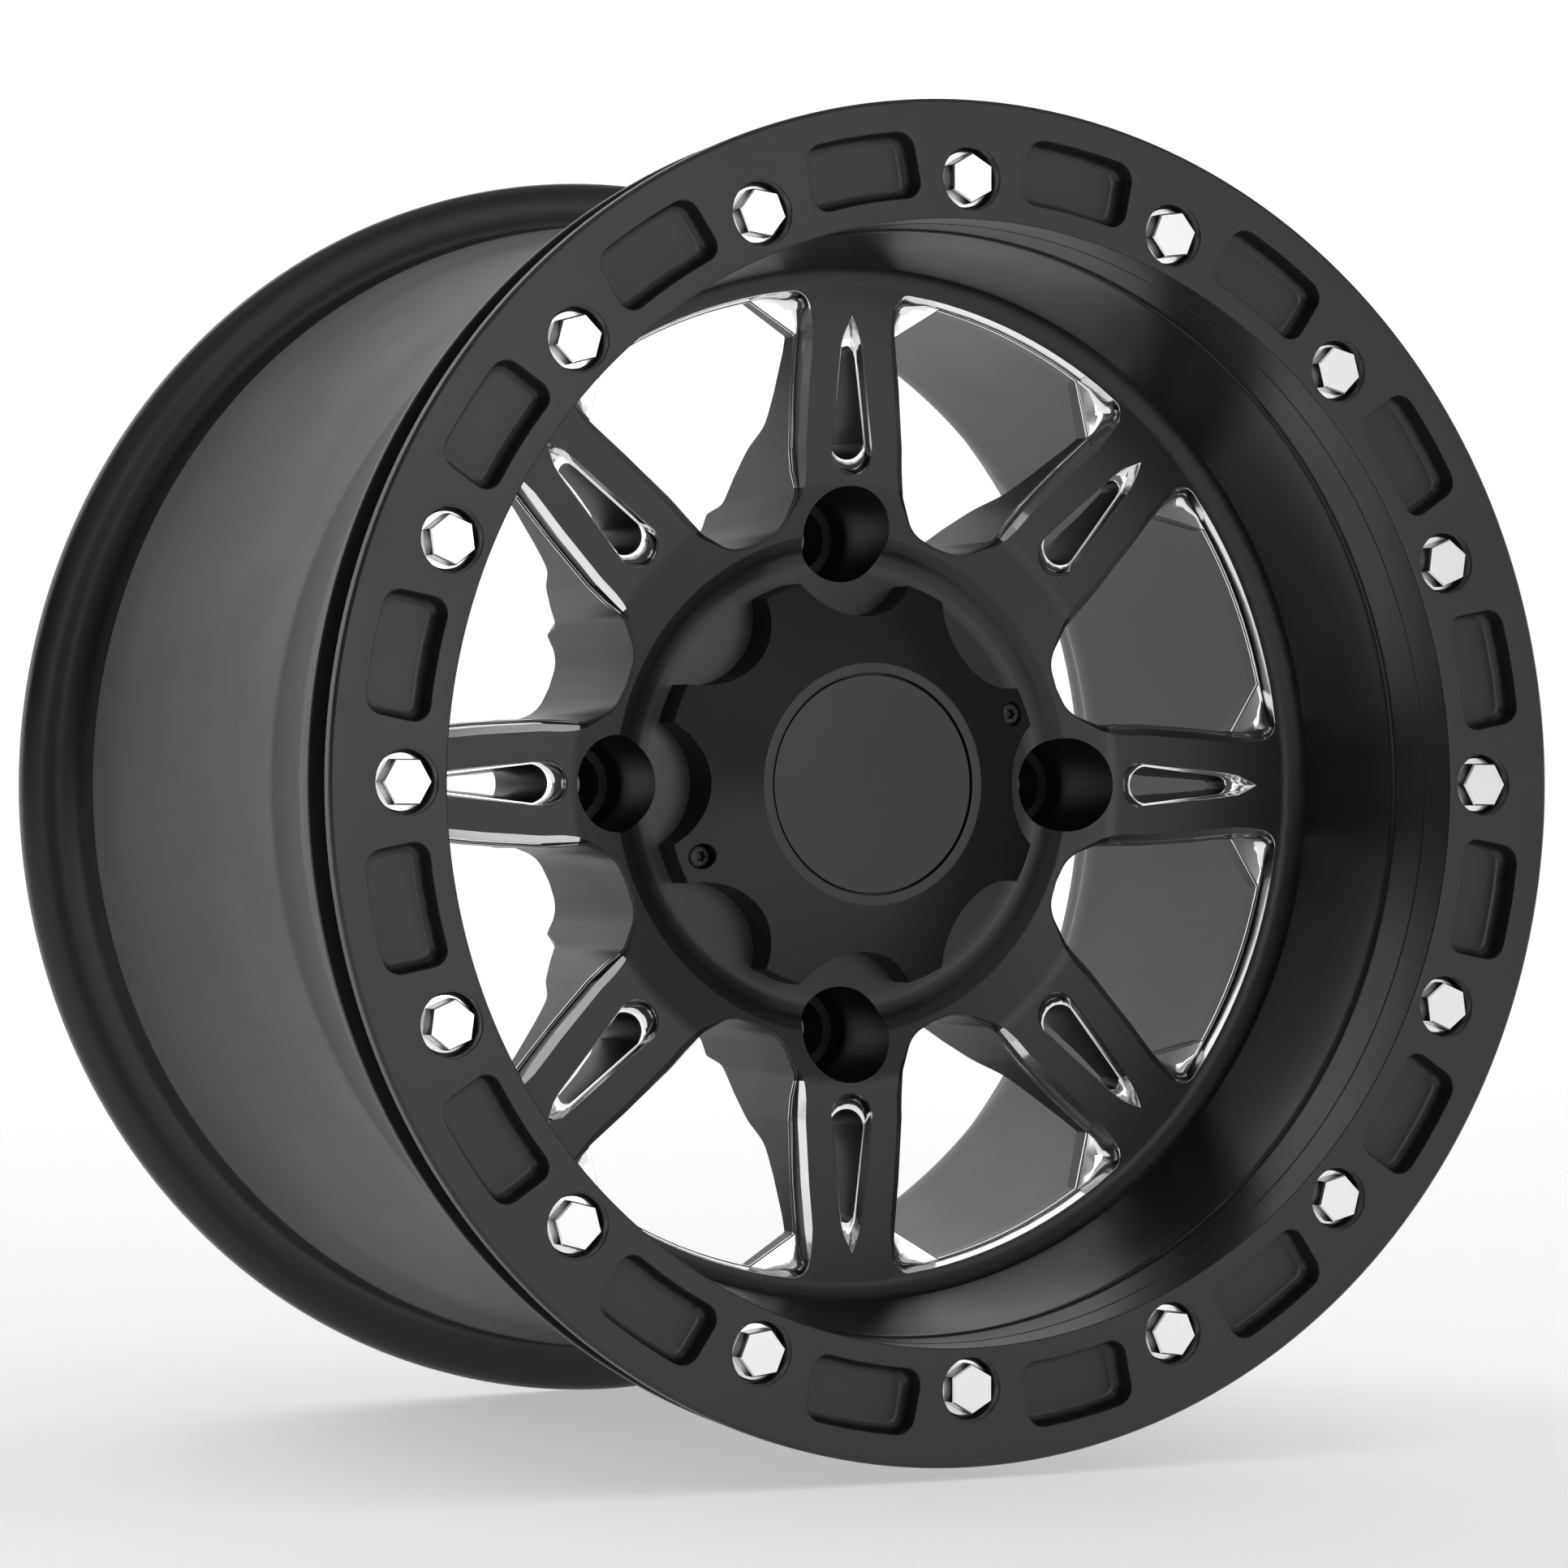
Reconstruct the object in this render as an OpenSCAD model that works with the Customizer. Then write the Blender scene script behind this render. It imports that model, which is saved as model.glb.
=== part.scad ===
// Beadlock wheel, 15 x 10 inch, for a four-stud hub.
// Row frame: the wheel's axis is Y, the face looks along -Y and +Z is up.
// The origin is the centre of the face that bolts to the vehicle's hub.
// The profiles below are pairs [radius, depth]; depth is measured back from the ring's front face.

/* [Wheel] */
// Distance from the ring's front face to the hub mounting face
face_depth = 145; // [135:1:155]
// Radius of the outer bead seat
seat_r = 190; // [189:0.5:191]
// Radius of the drop well, outside
well_r = 177; // [172:0.5:180]
// Wall of the drop well
well_wall = 7; // [5:0.5:9]
// Depth of the spokes' front face
spoke_face = 80.4; // [78:0.2:84]

/* [Hub] */
// Radius of the bore that fits over the vehicle's hub
pilot_r = 66; // [60:0.5:67]
// Length of that bore
pilot_len = 17; // [12:0.5:20]
// Radius of the narrower hollow in front of it
hollow_r = 59; // [56:0.5:60]
// Radius of the hole for the centre cap's skirt
cap_hole_r = 45; // [40:0.5:46]
// Diameter of the stud circle
stud_circle = 156; // [150:1:160]
// Radius of a stud hole
stud_hole_r = 6.5; // [6:0.1:8]
// Radius of a lug nut pocket
lug_pocket_r = 14.9; // [13:0.1:15.5]
// Depth of a lug nut pocket's floor
lug_floor = 118.6; // [112:0.2:122]

/* [Spokes] */
// Number of spokes and windows
spokes = 8; // [8]
// Depth of the milled step round a window
mill_depth = 7.6; // [4:0.2:8.4]
// Width of the milled step along a window's sides
mill_w = 1.5; // [1:0.1:3]

/* [Beadlock ring] */
// Outer radius of the ring
ring_r = 203.5; // [202:0.5:206]
// Inner radius of the ring
ring_in = 167.8; // [165:0.2:169]
// Thickness of the ring where it is bolted
ring_t = 15; // [13:0.5:15]
// Thickness of the ring's rim
rim_t = 4.5; // [4:0.5:6]
// Radius of the bolt circle
bolt_circle_r = 180.1; // [178:0.1:182]
// Number of bolts
bolts = 16; // [16]
// Depth of the ring's blind pockets
pocket_d = 8; // [4:0.5:9]

/* [Bolts] */
// Width of a bolt's hex head across its flats
hex_af = 13; // [12:0.1:13.4]
// Radius of a bolt's flange
bolt_flange_r = 8.6; // [8:0.1:9]
// Radius of a bolt's shank
shank_r = 4; // [3:0.5:4]
// Depth of the counterbore in the ring
bore_d = 7.3; // [6:0.1:8]

/* [Centre cap] */
// Radius over the cap's lobes
cap_r = 64.75; // [62:0.25:65.5]
// Depth of the cap's raised ring
cap_front = 65.1; // [63:0.1:68]
// Depth of the cap's edge at a lobe
cap_edge = 78.1; // [76:0.1:80]
// Depth of the hub face that the cap sits on, at the edge of the hole; it slopes back outwards
cap_seat = 87; // [86.6:0.1:87.2]
// Radius of a scallop
scallop_r = 22.7; // [20:0.1:24]
// Distance of a scallop's centre from the axis
scallop_c = 74.6; // [73:0.1:76]
// Radius of the centre disc
disc_r = 33.8; // [32:0.1:34]

/* [Valve] */
// Direction of the valve, seen from the front, anticlockwise from +X
valve_a = 112.5; // [67.5, 112.5, 247.5, 292.5]
// Depth of the valve hole's axis
valve_depth = 142; // [135:1:160]

/* [Hidden] */
$fn = 64;

// --- small helpers -------------------------------------------------------

// Profile points [radius, depth] to [radius, height above the mounting face]
function prof(P) = [for (p = P) [p[0], face_depth - p[1]]];
function zd(d) = face_depth - d;
function unit(v) = v / norm(v);
function cross2(a, b) = a[0] * b[1] - a[1] * b[0];
function wrap(a) = a > 180 ? a - 360 : a < -180 ? a + 360 : a;
function at(P, i) = P[(i + len(P)) % len(P)];

// A polygon with rounded corners: each vertex is [x, y, radius, steps]
function rounded(P) = [for (i = [0:len(P) - 1])
    let (b = [P[i][0], P[i][1]], r = P[i][2])
    each (r == 0 ? [b] :
        let (a = [at(P, i - 1)[0], at(P, i - 1)[1]], c = [at(P, i + 1)[0], at(P, i + 1)[1]],
             d1 = unit(a - b), d2 = unit(c - b), h = acos(d1 * d2) / 2,
             m = b + unit(d1 + d2) * r / sin(h),
             p = b + d1 * r / tan(h), q = b + d2 * r / tan(h),
             a1 = atan2(p[1] - m[1], p[0] - m[0]), a2 = atan2(q[1] - m[1], q[0] - m[0]),
             s = wrap(a2 - a1), n = P[i][3])
        [for (k = [0:n]) m + r * [cos(a1 + s * k / n), sin(a1 + s * k / n)]])];

// The same vertices moved inward by e (anticlockwise polygon)
function inset(P, e) = [for (i = [0:len(P) - 1])
    let (b = [P[i][0], P[i][1]], a = [at(P, i - 1)[0], at(P, i - 1)[1]], c = [at(P, i + 1)[0], at(P, i + 1)[1]],
         u = unit(b - a), v = unit(c - b), n1 = [-u[1], u[0]], n2 = [-v[1], v[0]],
         w = b + (n1 + n2) * e / (1 + n1 * n2), turn = cross2(u, v))
    [w[0], w[1], P[i][2] == 0 ? 0 : max(0.4, P[i][2] - (turn > 0 ? e : -e)), P[i][3]]];

// A solid between equal outlines at rising heights
module loft(rings, heights) {
    n = len(rings[0]);
    m = len(rings);
    polyhedron(
        points = [for (j = [0:m - 1]) for (p = rings[j]) [p[0], p[1], heights[j]]],
        faces = concat([[for (i = [0:n - 1]) i]],
            [for (j = [0:m - 2]) for (i = [0:n - 1]) [j * n + i, j * n + n + i, j * n + n + (i + 1) % n, j * n + (i + 1) % n]],
            [[for (i = [n - 1:-1:0]) (m - 1) * n + i]]));
}

// Local +Z is forward and local XY is the view from the front
module stand() { rotate([90, 0, 0]) children(); }
module round_the_axis(n, first) { for (k = [0:n - 1]) rotate([0, 0, first + k * 360 / n]) children(); }

// --- wheel ---------------------------------------------------------------

// Front: beadlock land, flange, seat and cone
front_side = [[ring_in, ring_t], [seat_r, ring_t], [seat_r, 20], [202.5, 20], [202.5, 23], [196, 24], [192, 26.5],
              [190.6, 30], [189.6, 44], [189.6, 61], [well_r + 0.6, 116], [well_r, 120]];
// Drop well, hump, seat and inner flange
back_side = [[well_r, 150], [well_r + 0.2, 165], [well_r + 1.5, 185], [181.8, 210], [185.1, 230], [187, 241], [190.1, 251.3],
             [189, 253.6], [189.1, 258], [189.9, 264.2], [192.3, 268.6], [197.4, 269.2], [198.9, 268.6], [202.5, 269],
             [205.4, 270.6], [206.8, 273], [207, 275], [206.9, 277.6], [205.2, 280.2], [202, 281], [196.5, 281], [191, 279.5],
             [187.5, 275.5], [186, 270]];
// Inside of the barrel, from the rear mouth to the back of the spokes
inside = [[185.2, 264], [183.4, 258], [well_r - well_wall + 1.8, 239.5], [well_r - well_wall + 0.4, 235], [well_r - well_wall, 228],
          [well_r - well_wall, 120], [169.3, 111], [166.5, 102.5], [162, 96], [157.5, 92.3], [153, 91]];
// Back of the spokes and the hub
spoke_back = [[136, 93.6], [124, 97.7], [114, 103], [108, 114], [91, 136], [89, 139], [89, 144], [88, 145]];
// Hub bores and front, with the shallow cone that the cap sits on
function seat_at(r) = cap_seat + (r - cap_hole_r) * 0.1;
hub_front = [[pilot_r + 1, 145], [pilot_r, 144], [pilot_r, 145 - pilot_len], [hollow_r, 145 - pilot_len], [hollow_r, 100],
             [cap_hole_r, 100], [cap_hole_r, cap_seat],
             [66, seat_at(66)], [67.2, 89.2], [71.2, 88.7], [73.3, 87.9], [74.5, 87.3], [75.9, 86.1], [78.2, 84.75], [93, spoke_face]];
// Dish
dish = [[153.6, spoke_face], [156.7, 79.5], [159.1, 77], [160, 73.5], [162.9, 62], [165.2, 50], [166.9, 32.5], [ring_in, 31.5]];

// Window: vertices of the milled outline, radius along X, [x, y, corner radius, steps]
arc_r = 154.05;
half_window = [[80.9, 9, 12, 3], [90, 18.2, 6, 2], [103.2, 23.2, 0, 1], [121, 31.8, 0, 1], [147.2, 45.6, 5.1, 5]];
function flipped(P) = [for (p = P) [p[0], -p[1], p[2], p[3]]];
function reversed(P) = [for (i = [len(P) - 1:-1:0]) P[i]];
window = concat([[80.2, 0, 0, 1]], flipped(half_window), [for (a = [-12:4:12]) [arc_r * cos(a), arc_r * sin(a), 0, 1]],
                reversed(half_window));
// Through-opening: the same sides, with its outer corners cut off
half_open = [[80.9, 9, 12, 3], [90, 18.2, 6, 2], [103.2, 23.2, 0, 1], [121, 31.8, 0, 1], [135.6, 39.4, 3, 2], [151.6, 27.6, 3, 2]];
window_open = concat([[80.2, 0, 0, 1]], flipped(half_open), [for (a = [-8:4:8]) [arc_r * cos(a), arc_r * sin(a), 0, 1]],
                     reversed(half_open));

module window_cut() {
    // milled step, with a little draft
    loft([rounded(inset(window, mill_w - 0.3)), rounded(inset(window, 0)), rounded(inset(window, -1.2))],
         [zd(spoke_face + mill_depth), zd(spoke_face), zd(spoke_face - 6)]);
    // opening
    translate([0, 0, -20]) linear_extrude(height = zd(spoke_face - 4) + 20) polygon(rounded(inset(window_open, mill_w)));
}

// Slot in a spoke: round end towards the hub, point towards the rim
slot_out = [[145.3, 0, 0, 1], [139.4, 2.73, 0, 1], [136.1, 3.46, 0, 1]];
slot_c = 103.2;
slot_end_r = 6.84;
slot_edge = concat(slot_out, [for (a = [96:14:264]) [slot_c + slot_end_r * cos(a), slot_end_r * sin(a), 0, 1]],
                   [[136.1, -3.46, 0, 1], [139.4, -2.73, 0, 1]]);
slot_floor = concat([[139.6, 0, 0, 1], [138.2, 1.7, 0, 1], [136, 2.5, 0, 1]],
                    [for (a = [96:14:264]) [slot_c + 2.2 + 5.4 * cos(a), 5.4 * sin(a), 0, 1]],
                    [[136, -2.5, 0, 1], [138.2, -1.7, 0, 1]]);
function xy(P) = [for (p = P) [p[0], p[1]]];

module slot_cut() {
    loft([xy(slot_floor), xy(slot_edge), xy(inset(slot_edge, -0.8))],
         [zd(spoke_face + 4), zd(spoke_face), zd(spoke_face - 3)]);
    translate([0, 0, zd(134)]) linear_extrude(height = 134 - spoke_face - 1)
        polygon(concat([for (a = [-75:30:75]) [134.1 + 2.2 * cos(a), 2.2 * sin(a)]],
                       [for (a = [96:14:264]) [slot_c + 2.6 + 5.0 * cos(a), 5.0 * sin(a)]]));
}

module lug_cut() {
    r = stud_circle / 2;
    translate([r, 0, zd(lug_floor)]) cylinder(r = lug_pocket_r, h = 60);
    translate([r, 0, zd(lug_floor + 3.1)]) cylinder(r1 = lug_pocket_r - 1.8, r2 = lug_pocket_r, h = 3.1);
    translate([r, 0, zd(lug_floor + 9.5)]) cylinder(r1 = stud_hole_r, r2 = 10.2, h = 6.4);
    translate([r, 0, -5]) cylinder(r = stud_hole_r, h = zd(lug_floor));
}

module wheel() {
    color([0.035, 0.035, 0.037]) stand() difference() {
        rotate_extrude() polygon(prof(concat(front_side, back_side, inside, spoke_back, hub_front, dish)));
        round_the_axis(spokes, 22.5) window_cut();
        round_the_axis(spokes, 0) slot_cut();
        round_the_axis(4, 0) lug_cut();
        round_the_axis(bolts, 0) translate([bolt_circle_r, 0, zd(ring_t + 18)]) cylinder(r = 6.5, h = 30);
        round_the_axis(2, 22.5) translate([58, 0, zd(102)]) cylinder(r = 2.05, h = 20);
        rotate([0, 0, valve_a]) translate([0, 0, zd(valve_depth)]) rotate([0, 90, 0]) {
            translate([0, 0, 150]) cylinder(r = 5.7, h = 50);
            translate([0, 0, 176]) cylinder(r = 11, h = 8);
            translate([0, 0, 160]) cylinder(r = 11, h = 10.6);
        }
    }
}

// --- beadlock ring -------------------------------------------------------

ring_profile = [[ring_in, 0.6], [ring_in + 0.6, 0], [ring_r - 1.2, 0], [ring_r, 1.2], [ring_r, rim_t], [199, rim_t + 0.2],
                [193.5, 8.5], [190.8, ring_t], [ring_in, ring_t]];
// Pocket outline: nearly parallel sides between two arcs
pocket_outline = [[174.4 * cos(5.9), -174.4 * sin(5.9), 4.6, 4], [194 * cos(5.3), -194 * sin(5.3), 5, 4], [194, 0, 0, 1],
                  [194 * cos(5.3), 194 * sin(5.3), 5, 4], [174.4 * cos(5.9), 174.4 * sin(5.9), 4.6, 4], [174.4, 0, 0, 1]];

module pocket_cut() {
    loft([rounded(inset(pocket_outline, 2.8)), rounded(inset(pocket_outline, 0.9)), rounded(pocket_outline), rounded(pocket_outline)],
         [zd(pocket_d), zd(pocket_d - 0.8), zd(pocket_d - 2.8), zd(-2)]);
}

module beadlock_ring() {
    color([0.05, 0.05, 0.052]) stand() difference() {
        rotate_extrude() polygon(prof(ring_profile));
        round_the_axis(bolts, 11.25) pocket_cut();
        round_the_axis(bolts, 0) translate([bolt_circle_r, 0, 0]) {
            translate([0, 0, zd(bore_d)]) cylinder(r = 9.4, h = 20);
            translate([0, 0, zd(ring_t + 2)]) cylinder(r = 4.5, h = 30);
        }
    }
}

// --- bolts and inserts ---------------------------------------------------

module bolt() {
    translate([0, 0, zd(bore_d)]) cylinder(r = bolt_flange_r, h = 1.7);
    translate([0, 0, zd(bore_d - 1.7)]) cylinder(r1 = bolt_flange_r, r2 = bolt_flange_r - 0.4, h = 0.5);
    translate([0, 0, zd(bore_d - 1)]) cylinder(r = hex_af / sqrt(3), h = bore_d - 0.8, $fn = 6);
    translate([0, 0, zd(-0.2)]) cylinder(r1 = hex_af / sqrt(3), r2 = (hex_af - 0.8) / sqrt(3), h = 0.55, $fn = 6);
    translate([0, 0, zd(29)]) cylinder(r = shank_r, h = 29 - bore_d + 0.5);
    translate([0, 0, zd(30)]) cylinder(r1 = shank_r - 1, r2 = shank_r, h = 1);
}

module beadlock_bolts() {
    color([0.85, 0.85, 0.86]) stand() round_the_axis(bolts, 0) translate([bolt_circle_r, 0, 0]) bolt();
}

module thread_inserts() {
    color([0.6, 0.6, 0.58]) stand() round_the_axis(bolts, 0) translate([bolt_circle_r, 0, 0]) difference() {
        translate([0, 0, zd(ring_t + 17.5)]) cylinder(r = 6.45, h = 17.3);
        translate([0, 0, zd(ring_t + 20)]) cylinder(r = shank_r + 0.05, h = 30);
    }
}

// --- centre cap ----------------------------------------------------------

cap_slope = (cap_edge - cap_front) / (cap_r - 37.4);
cap_profile = [[0, cap_front + 2.5], [34.3, cap_front + 2.5], [34.3, cap_front + 0.5], [34.8, cap_front], [37.4, cap_front],
               [cap_r - 0.5, cap_edge - 0.1], [cap_r, cap_edge + 0.4], [cap_r, seat_at(cap_r)], [44.8, seat_at(44.8)], [44.8, 93], [42.9, 93],
               [42.9, 96.6], [44.8, 96.6], [44.8, 98.2], [44.2, 99], [41, 99], [41, 74.5], [37, 71], [0, 71]];

module centre_cap() {
    color([0.03, 0.03, 0.032]) stand() difference() {
        rotate_extrude() polygon(prof(cap_profile));
        round_the_axis(spokes, 0) translate([scallop_c, 0, 30]) cylinder(r = scallop_r, h = 60);
        round_the_axis(2, 22.5) translate([58, 0, 0]) {
            translate([0, 0, zd(80)]) cylinder(r = 3.95, h = 30);
            translate([0, 0, zd(92)]) cylinder(r = 2.2, h = 30);
        }
    }
}

module cap_medallion() {
    color([0.06, 0.06, 0.063]) stand() rotate_extrude()
        polygon(prof([[0, cap_front + 0.5], [disc_r - 0.5, cap_front + 0.5], [disc_r, cap_front + 1], [disc_r, cap_front + 2.2], [0, cap_front + 2.2]]));
}

module medallion_seal() {
    color([0.2, 0.2, 0.2]) stand() rotate_extrude()
        polygon(prof([[22, cap_front + 2.2], [32, cap_front + 2.2], [32, cap_front + 2.5], [22, cap_front + 2.5]]));
}

module cap_screws() {
    color([0.1, 0.1, 0.1]) stand() round_the_axis(2, 22.5) translate([58, 0, 0]) {
        difference() {
            union() {
                translate([0, 0, zd(80)]) cylinder(r = 3.5, h = 3.2);
                translate([0, 0, zd(76.8)]) cylinder(r1 = 3.5, r2 = 3.1, h = 0.4);
            }
            translate([0, 0, zd(78.8)]) cylinder(r = 1.7, h = 10, $fn = 6);
        }
        translate([0, 0, zd(98)]) cylinder(r = 2, h = 18.2);
    }
}

module cap_o_ring() {
    color([0.05, 0.05, 0.05]) stand() translate([0, 0, zd(94.8)])
        rotate_extrude() translate([43.95, 0]) circle(r = 1.03);
}

// --- valve, along local +Z from the wheel's axis outwards ----------------

module valve_place() { stand() rotate([0, 0, valve_a]) translate([0, 0, zd(valve_depth)]) rotate([0, 90, 0]) children(); }

module valve_stem() {
    color([0.7, 0.65, 0.5]) valve_place() rotate_extrude()
        polygon([[1.65, 151], [3.4, 151], [3.85, 151.5], [3.85, 159], [4.6, 160.4], [5.4, 161.2], [5.4, 178.3], [8.2, 178.3],
                 [8.2, 180], [7, 181], [1.65, 181]]);
}
module valve_grommet() {
    color([0.04, 0.04, 0.04]) valve_place() rotate_extrude()
        polygon([[5.4, 176], [9, 176], [8.6, 178.3], [5.4, 178.3]]);
}
module valve_washer() {
    color([0.75, 0.75, 0.75]) valve_place() difference() {
        translate([0, 0, 169.4]) cylinder(r = 8.8, h = 1.2);
        translate([0, 0, 160]) cylinder(r = 5.5, h = 20);
    }
}
module valve_nut() {
    color([0.75, 0.75, 0.75]) valve_place() difference() {
        translate([0, 0, 164.8]) cylinder(r = 8.1, h = 4.6, $fn = 6);
        translate([0, 0, 160]) cylinder(r = 5.45, h = 20);
    }
}
module valve_core() {
    color([0.8, 0.7, 0.3]) valve_place() rotate_extrude()
        polygon([[0, 151.5], [0.8, 151.5], [0.8, 153], [1.6, 153], [1.6, 168], [1.2, 170], [0, 170]]);
}
module valve_cap() {
    color([0.02, 0.02, 0.02]) valve_place() rotate_extrude()
        polygon([[0, 147.8], [4.2, 147.8], [5, 148.6], [5, 158.6], [3.9, 158.6], [3.9, 150.8], [0, 150.8]]);
}

wheel();
beadlock_ring();
beadlock_bolts();
thread_inserts();
centre_cap();
cap_medallion();
medallion_seal();
cap_screws();
cap_o_ring();
valve_stem();
valve_grommet();
valve_washer();
valve_nut();
valve_core();
valve_cap();
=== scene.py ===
import math

import bmesh
import bpy
from mathutils import Matrix, Vector
from mathutils.geometry import delaunay_2d_cdt


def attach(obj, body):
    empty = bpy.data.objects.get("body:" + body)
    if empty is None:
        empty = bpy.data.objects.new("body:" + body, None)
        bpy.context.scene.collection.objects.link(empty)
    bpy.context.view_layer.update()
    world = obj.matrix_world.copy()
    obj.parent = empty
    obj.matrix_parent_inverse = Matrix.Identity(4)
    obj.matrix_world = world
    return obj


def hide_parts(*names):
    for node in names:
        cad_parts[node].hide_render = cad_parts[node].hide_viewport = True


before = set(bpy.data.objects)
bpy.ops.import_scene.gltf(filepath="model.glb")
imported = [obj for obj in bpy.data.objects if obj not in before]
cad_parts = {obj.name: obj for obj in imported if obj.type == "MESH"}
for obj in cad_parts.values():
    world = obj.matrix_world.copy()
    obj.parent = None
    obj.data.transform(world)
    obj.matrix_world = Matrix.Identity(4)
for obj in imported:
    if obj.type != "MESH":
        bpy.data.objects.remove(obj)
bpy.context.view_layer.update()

FACE = 145.0  # mm from the ring's front face back to the hub mounting face
R = math.radians


# ------------------------------------------------------------------ outlines

def unit(x, y):
    n = math.hypot(x, y)
    return x / n, y / n


def inset(P, e):
    """Polygon vertices (x, y, radius, steps), anticlockwise, moved inward by e."""
    out = []
    for i, (bx, by, rad, n) in enumerate(P):
        ax, ay = P[i - 1][:2]
        cx, cy = P[(i + 1) % len(P)][:2]
        ux, uy = unit(bx - ax, by - ay)
        vx, vy = unit(cx - bx, cy - by)
        n1, n2 = (-uy, ux), (-vy, vx)
        k = e / (1 + n1[0] * n2[0] + n1[1] * n2[1])
        turn = ux * vy - uy * vx
        r2 = 0 if rad == 0 else max(0.3, rad - (e if turn > 0 else -e))
        out.append((bx + (n1[0] + n2[0]) * k, by + (n1[1] + n2[1]) * k, r2, n))
    return out


def corners(P):
    """One list of points for each vertex: its corner arc, or the vertex itself."""
    out = []
    for i, (bx, by, rad, n) in enumerate(P):
        if rad == 0:
            out.append([(bx, by)])
            continue
        ax, ay = P[i - 1][:2]
        cx, cy = P[(i + 1) % len(P)][:2]
        d1 = unit(ax - bx, ay - by)
        d2 = unit(cx - bx, cy - by)
        h = math.acos(max(-1, min(1, d1[0] * d2[0] + d1[1] * d2[1]))) / 2
        if h > R(89.5):
            out.append([(bx, by)] * (n + 1))
            continue
        m = unit(d1[0] + d2[0], d1[1] + d2[1])
        mx, my = bx + m[0] * rad / math.sin(h), by + m[1] * rad / math.sin(h)
        t = rad / math.tan(h)
        a1 = math.atan2(by + d1[1] * t - my, bx + d1[0] * t - mx)
        a2 = math.atan2(by + d2[1] * t - my, bx + d2[0] * t - mx)
        s = (a2 - a1 + math.pi) % (2 * math.pi) - math.pi
        out.append([(mx + rad * math.cos(a1 + s * k / n), my + rad * math.sin(a1 + s * k / n)) for k in range(n + 1)])
    return out


def rounded(P):
    return [q for c in corners(P) for q in c]


class Outline:
    """A rounded closed outline that can be taken at any inset, always with the same points."""

    def __init__(self, P, spacing):
        self.P = P
        c = corners(P)
        self.sub = []
        for i in range(len(c)):
            a, b = c[i][-1], c[(i + 1) % len(c)][0]
            self.sub.append(max(1, round(math.hypot(b[0] - a[0], b[1] - a[1]) / spacing)))
        self.cache = {}
        self.base = self.at(0.0)

    def at(self, e):
        e = round(e, 3)
        if e not in self.cache:
            c = corners(inset(self.P, e)) if e else corners(self.P)
            pts = []
            for i in range(len(c)):
                pts += c[i]
                a, b = c[i][-1], c[(i + 1) % len(c)][0]
                n = self.sub[i]
                pts += [(a[0] + (b[0] - a[0]) * k / n, a[1] + (b[1] - a[1]) * k / n) for k in range(1, n)]
            self.cache[e] = pts
        return self.cache[e]


def spline(P, n):
    """Smooth curve through the points, n steps between each pair."""
    out = []
    for i in range(len(P) - 1):
        p0 = P[max(i - 1, 0)]
        p1, p2 = P[i], P[i + 1]
        p3 = P[min(i + 2, len(P) - 1)]
        for k in range(n):
            t = k / n
            out.append(tuple(0.5 * (2 * b + (c - a) * t + (2 * a - 5 * b + 4 * c - d) * t * t + (3 * b - a - 3 * c + d) * t ** 3)
                             for a, b, c, d in zip(p0, p1, p2, p3)))
    out.append(tuple(P[-1]))
    return out


def step(a, b, x):
    t = max(0.0, min(1.0, (x - a) / (b - a)))
    return t * t * (3 - 2 * t)


# ------------------------------------------------------------------ meshes

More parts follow.
